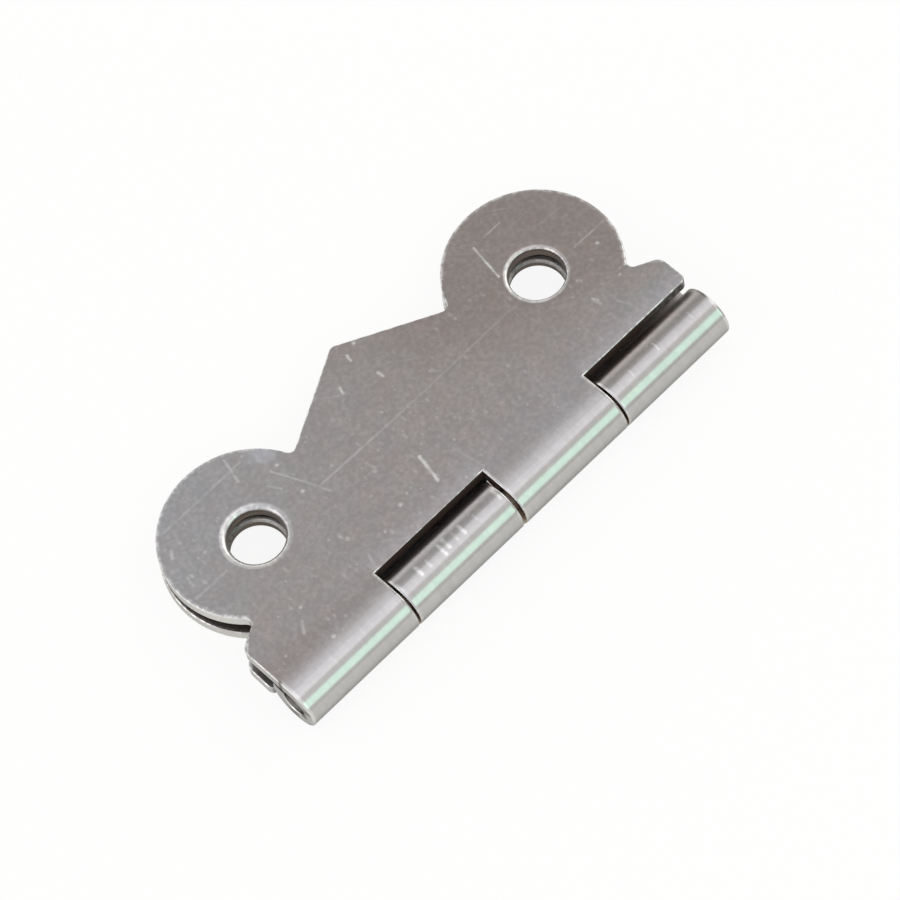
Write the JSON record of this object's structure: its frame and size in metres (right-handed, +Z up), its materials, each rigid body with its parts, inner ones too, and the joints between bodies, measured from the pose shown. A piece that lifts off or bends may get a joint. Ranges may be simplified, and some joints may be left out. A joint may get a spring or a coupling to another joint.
{
  "type": "butterfly hinge",
  "caption": "Small butterfly hinge: lobed, stamped steel leaves with rolled knuckles on a wire pin, shown folded shut.",
  "frame": {"origin": "midway between the lower leaf's two screw holes, on that leaf's mounting face", "axes": "+X along the barrel, +Y from the barrel to the lobes, +Z up from the lower leaf to the upper leaf"},
  "size_m": [0.0381, 0.0179, 0.0038],
  "materials": {
    "nickel_plate": "satin nickel plate on sheet steel",
    "pin_wire": "drawn steel wire"
  },
  "bodies": {
    "lower": {"lower_leaf": "nickel_plate", "hinge_pin": "pin_wire"},
    "upper": {"upper_leaf": "nickel_plate"}
  },
  "joints": [
    {"name": "leaf_swing", "type": "hinge", "parent": "lower", "child": "upper", "pos_m": [0, -0.00947, 0.00191], "axis": [1, 0, 0], "range_deg": [0, 270]}
  ]
}
